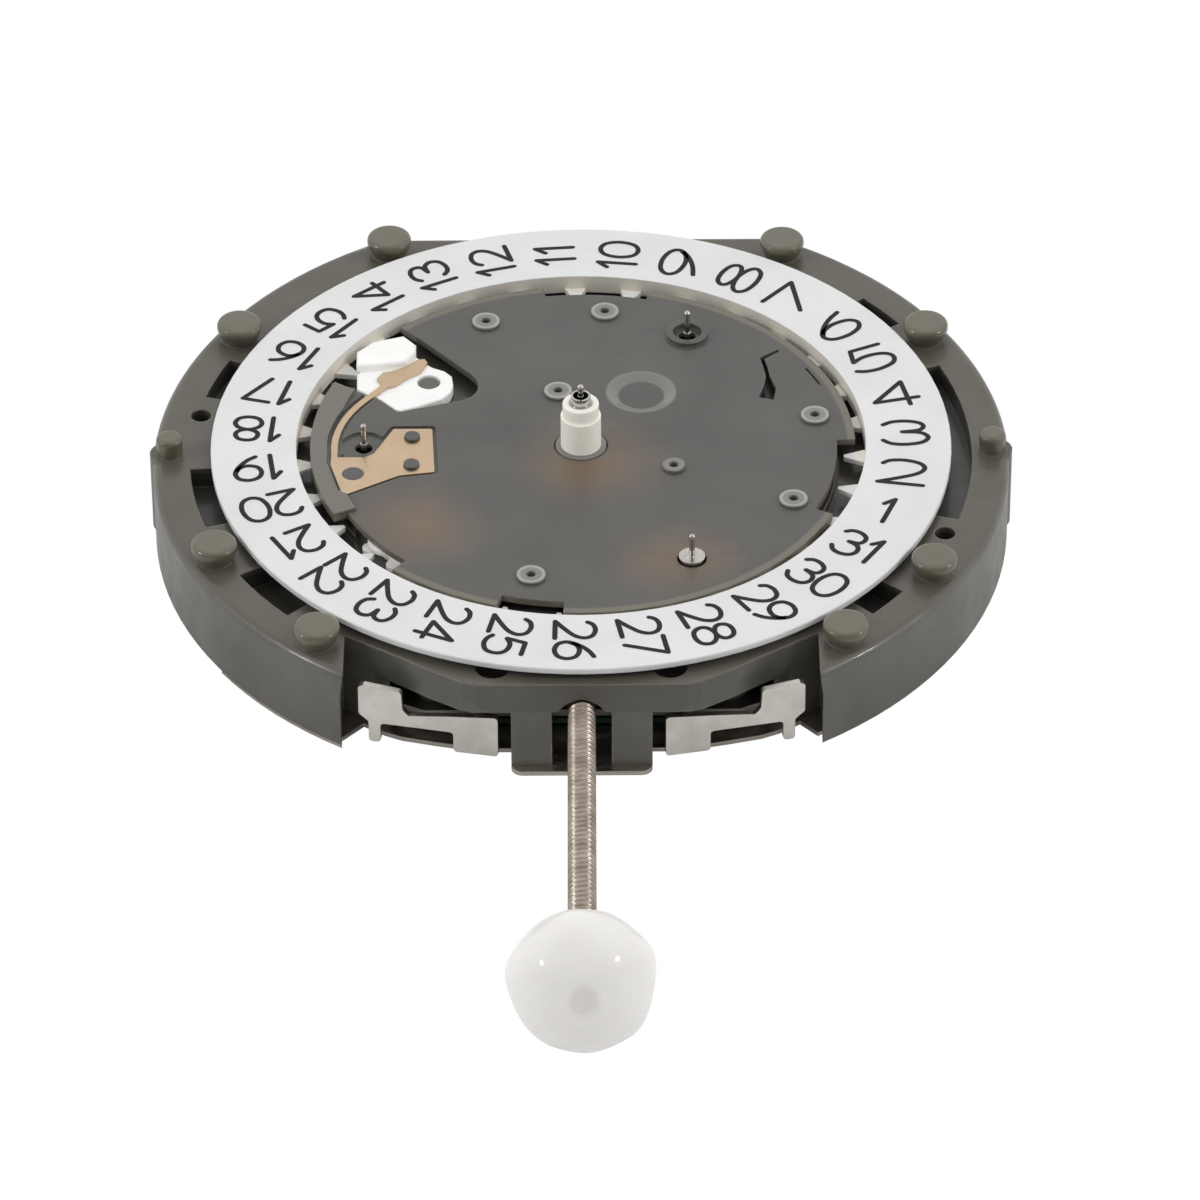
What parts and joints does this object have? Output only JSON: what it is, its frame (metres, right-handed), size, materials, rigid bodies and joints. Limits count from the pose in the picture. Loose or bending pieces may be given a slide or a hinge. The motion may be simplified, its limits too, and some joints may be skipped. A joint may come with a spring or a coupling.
{
  "type": "quartz watch movement",
  "caption": "Quartz watch movement with date ring, three small sub-dial posts, centre hand pipes, push levers and a stem with a setting knob.",
  "frame": {"origin": "on the hand axis at the outer face of the steel back plate", "axes": "+Z towards the dial along the hand axis, the stem leaves along -Y, +X points to twelve o'clock"},
  "size_m": [0.0278, 0.0391, 0.006],
  "materials": {
    "grey_plastic": "satin",
    "guard_plastic": "satin",
    "white_plastic": "satin",
    "knob_plastic": "glossy",
    "wheel_plastic": "satin",
    "steel": "polished",
    "back_steel": "satin",
    "copper_alloy": "satin",
    "copper_wire": "glossy",
    "brass": "satin",
    "soft_iron": "satin",
    "magnet": "satin",
    "board_green": "satin",
    "chip_black": "matte",
    "cell_steel": "polished"
  },
  "bodies": {
    "movement": {"main_plate": "grey_plastic", "back_plate": "back_steel", "battery_clamp": "steel", "circuit_board": "board_green", "chip": "chip_black", "quartz_can": "cell_steel", "train_bridge": "back_steel", "battery": "cell_steel", "plate_screws": "steel", "date_guard": "guard_plastic", "jumper_spring": "copper_alloy", "setting_posts": "steel", "centre_stator": "soft_iron", "centre_coil_core": "soft_iron", "centre_winding": "copper_wire", "six_stator": "soft_iron", "six_coil_core": "soft_iron", "six_winding": "copper_wire", "ten_stator": "soft_iron", "ten_coil_core": "soft_iron", "ten_winding": "copper_wire", "two_stator": "soft_iron", "two_coil_core": "soft_iron", "two_winding": "copper_wire"},
    "centre_rotor": {"centre_rotor": "magnet"},
    "centre_reduction": {"centre_reduction_wheel": "wheel_plastic"},
    "centre_hand": {"centre_hand_arbor": "steel"},
    "six_rotor": {"six_rotor": "magnet"},
    "six_reduction": {"six_reduction_wheel": "wheel_plastic"},
    "six_hand": {"six_hand_arbor": "steel"},
    "ten_rotor": {"ten_rotor": "magnet"},
    "ten_reduction": {"ten_reduction_wheel": "wheel_plastic"},
    "ten_hand": {"ten_hand_arbor": "steel"},
    "two_rotor": {"two_rotor": "magnet"},
    "two_reduction": {"two_reduction_wheel": "wheel_plastic"},
    "two_hand": {"two_hand_arbor": "steel"},
    "third_wheel": {"third_wheel": "wheel_plastic"},
    "far_idler": {"far_idler": "wheel_plastic"},
    "near_idler": {"near_idler": "wheel_plastic"},
    "centre_wheel": {"centre_wheel": "brass"},
    "minute_pipe": {"minute_pipe": "steel"},
    "minute_wheel": {"minute_wheel": "wheel_plastic"},
    "hour_wheel": {"hour_wheel": "white_plastic"},
    "date_intermediate_wheel": {"date_intermediate_wheel": "white_plastic"},
    "date_driving_wheel": {"date_driving_wheel": "white_plastic"},
    "setting_wheel": {"setting_wheel": "wheel_plastic"},
    "date_ring": {"date_ring": "white_plastic", "date_ring_teeth": "white_plastic"},
    "date_jumper": {"date_jumper": "white_plastic", "date_jumper_head": "white_plastic"},
    "clutch_wheel": {"clutch_wheel": "steel"},
    "stem": {"stem": "steel", "stem_tail": "steel", "knob": "knob_plastic"},
    "setting_lever": {"setting_lever": "steel"},
    "yoke": {"yoke": "steel"},
    "four_oclock_push_lever": {"four_oclock_push_lever": "steel"},
    "two_oclock_push_lever": {"two_oclock_push_lever": "steel"}
  },
  "joints": [
    {"name": "centre_rotor_turn", "type": "hinge", "parent": "movement", "child": "centre_rotor", "pos_m": [0.00334, 0.00124, 0.002], "axis": [0, 0, 1], "continuous": true},
    {"name": "centre_reduction_turn", "type": "hinge", "parent": "movement", "child": "centre_reduction", "pos_m": [0.00195, 0.00137, 0.002], "axis": [0, 0, 1], "continuous": true},
    {"name": "centre_hand_turn", "type": "hinge", "parent": "movement", "child": "centre_hand", "pos_m": [0, 0, 0.002], "axis": [0, 0, 1], "continuous": true},
    {"name": "six_rotor_turn", "type": "hinge", "parent": "movement", "child": "six_rotor", "pos_m": [-0.00671, -0.00356, 0.002], "axis": [0, 0, 1], "continuous": true},
    {"name": "six_reduction_turn", "type": "hinge", "parent": "movement", "child": "six_reduction", "pos_m": [-0.00741, -0.00234, 0.002], "axis": [0, 0, 1], "continuous": true},
    {"name": "six_hand_turn", "type": "hinge", "parent": "movement", "child": "six_hand", "pos_m": [-0.007, 0, 0.002], "axis": [0, 0, 1], "continuous": true},
    {"name": "ten_rotor_turn", "type": "hinge", "parent": "movement", "child": "ten_rotor", "pos_m": [0.00696, 0.00487, 0.002], "axis": [0, 0, 1], "continuous": true},
    {"name": "ten_reduction_turn", "type": "hinge", "parent": "movement", "child": "ten_reduction", "pos_m": [0.00556, 0.00487, 0.002], "axis": [0, 0, 1], "continuous": true},
    {"name": "ten_hand_turn", "type": "hinge", "parent": "movement", "child": "ten_hand", "pos_m": [0.0035, 0.00606, 0.002], "axis": [0, 0, 1], "continuous": true},
    {"name": "two_rotor_turn", "type": "hinge", "parent": "movement", "child": "two_rotor", "pos_m": [0.00696, -0.00487, 0.002], "axis": [0, 0, 1], "continuous": true},
    {"name": "two_reduction_turn", "type": "hinge", "parent": "movement", "child": "two_reduction", "pos_m": [0.00556, -0.00487, 0.002], "axis": [0, 0, 1], "continuous": true},
    {"name": "two_hand_turn", "type": "hinge", "parent": "movement", "child": "two_hand", "pos_m": [0.0035, -0.00606, 0.002], "axis": [0, 0, 1], "continuous": true},
    {"name": "third_wheel_turn", "type": "hinge", "parent": "movement", "child": "third_wheel", "pos_m": [-0.00494, -0.00145, 0.002], "axis": [0, 0, 1], "continuous": true},
    {"name": "far_idler_turn", "type": "hinge", "parent": "movement", "child": "far_idler", "pos_m": [-0.00396, -0.00137, 0.002], "axis": [0, 0, 1], "continuous": true},
    {"name": "near_idler_turn", "type": "hinge", "parent": "movement", "child": "near_idler", "pos_m": [-0.00269, -0.00079, 0.002], "axis": [0, 0, 1], "continuous": true},
    {"name": "centre_wheel_turn", "type": "hinge", "parent": "movement", "child": "centre_wheel", "pos_m": [0, 0, 0.002], "axis": [0, 0, 1], "continuous": true},
    {"name": "minute_pipe_turn", "type": "hinge", "parent": "movement", "child": "minute_pipe", "pos_m": [0, 0, 0.002], "axis": [0, 0, 1], "continuous": true},
    {"name": "minute_wheel_turn", "type": "hinge", "parent": "movement", "child": "minute_wheel", "pos_m": [0.00062, -0.00232, 0.002], "axis": [0, 0, 1], "continuous": true},
    {"name": "hour_wheel_turn", "type": "hinge", "parent": "movement", "child": "hour_wheel", "pos_m": [0, 0, 0.002], "axis": [0, 0, 1], "continuous": true},
    {"name": "date_intermediate_wheel_turn", "type": "hinge", "parent": "movement", "child": "date_intermediate_wheel", "pos_m": [-0.00366, -0.00118, 0.002], "axis": [0, 0, 1], "continuous": true},
    {"name": "date_driving_wheel_turn", "type": "hinge", "parent": "movement", "child": "date_driving_wheel", "pos_m": [-0.00497, -0.00379, 0.002], "axis": [0, 0, 1], "continuous": true},
    {"name": "setting_wheel_turn", "type": "hinge", "parent": "movement", "child": "setting_wheel", "pos_m": [0, -0.00541, 0.002], "axis": [0, 0, 1], "continuous": true},
    {"name": "date_ring_turn", "type": "hinge", "parent": "movement", "child": "date_ring", "pos_m": [0, 0, 0.003], "axis": [0, 0, 1], "continuous": true},
    {"name": "date_jumper_swing", "type": "hinge", "parent": "movement", "child": "date_jumper", "pos_m": [-0.00496, 0.00363, 0.003], "axis": [0, 0, 1], "range_deg": [0, 2.5], "stiffness_Nm_per_rad": 0.000002, "springref_deg": -5.73},
    {"name": "stem_turn", "type": "hinge", "parent": "movement", "child": "clutch_wheel", "pos_m": [0, -0.0075, 0.00195], "axis": [0, -1, 0], "continuous": true},
    {"name": "stem_pull", "type": "slide", "parent": "clutch_wheel", "child": "stem", "axis": [0, -1, 0], "range_m": [0, 0.001]},
    {"name": "setting_lever_swing", "type": "hinge", "parent": "movement", "child": "setting_lever", "pos_m": [-0.0028, -0.0096, 0.001], "axis": [0, 0, 1], "range_deg": [-20.6, 0.3]},
    {"name": "yoke_swing", "type": "hinge", "parent": "movement", "child": "yoke", "pos_m": [0.0026, -0.009, 0.001], "axis": [0, 0, 1], "range_deg": [-1.4, 1.4], "stiffness_Nm_per_rad": 0.000002},
    {"name": "four_oclock_push", "type": "hinge", "parent": "movement", "child": "four_oclock_push_lever", "pos_m": [-0.0033, -0.0113, 0.0003], "axis": [0, 0, 1], "range_deg": [-5.5, 0], "stiffness_Nm_per_rad": 0.00002, "springref_deg": 5.73},
    {"name": "two_oclock_push", "type": "hinge", "parent": "movement", "child": "two_oclock_push_lever", "pos_m": [0.0033, -0.0113, 0.0003], "axis": [0, 0, 1], "range_deg": [0, 5.5], "stiffness_Nm_per_rad": 0.00002, "springref_deg": -5.73}
  ],
  "couplings": [
    {"joint": "centre_reduction_turn", "follows": "centre_rotor_turn", "ratio": -0.25},
    {"joint": "centre_hand_turn", "follows": "centre_rotor_turn", "ratio": 0.033333},
    {"joint": "six_reduction_turn", "follows": "six_rotor_turn", "ratio": -0.25},
    {"joint": "six_hand_turn", "follows": "six_rotor_turn", "ratio": 0.033333},
    {"joint": "ten_reduction_turn", "follows": "ten_rotor_turn", "ratio": -0.25},
    {"joint": "ten_hand_turn", "follows": "ten_rotor_turn", "ratio": 0.033333},
    {"joint": "two_reduction_turn", "follows": "two_rotor_turn", "ratio": -0.25},
    {"joint": "two_hand_turn", "follows": "two_rotor_turn", "ratio": 0.033333},
    {"joint": "third_wheel_turn", "follows": "six_rotor_turn", "ratio": -0.0041667},
    {"joint": "far_idler_turn", "follows": "six_rotor_turn", "ratio": 0.0016667},
    {"joint": "near_idler_turn", "follows": "six_rotor_turn", "ratio": -0.0016667},
    {"joint": "centre_wheel_turn", "follows": "six_rotor_turn", "ratio": 0.00055556},
    {"joint": "minute_wheel_turn", "follows": "minute_pipe_turn", "ratio": -0.33333},
    {"joint": "hour_wheel_turn", "follows": "minute_pipe_turn", "ratio": 0.083333},
    {"joint": "date_intermediate_wheel_turn", "follows": "minute_pipe_turn", "ratio": -0.083333},
    {"joint": "date_driving_wheel_turn", "follows": "minute_pipe_turn", "ratio": 0.041667},
    {"joint": "setting_wheel_turn", "follows": "minute_pipe_turn", "ratio": 0.44444},
    {"joint": "setting_lever_swing", "follows": "stem_pull", "rad_per_m": -353.42}
  ]
}
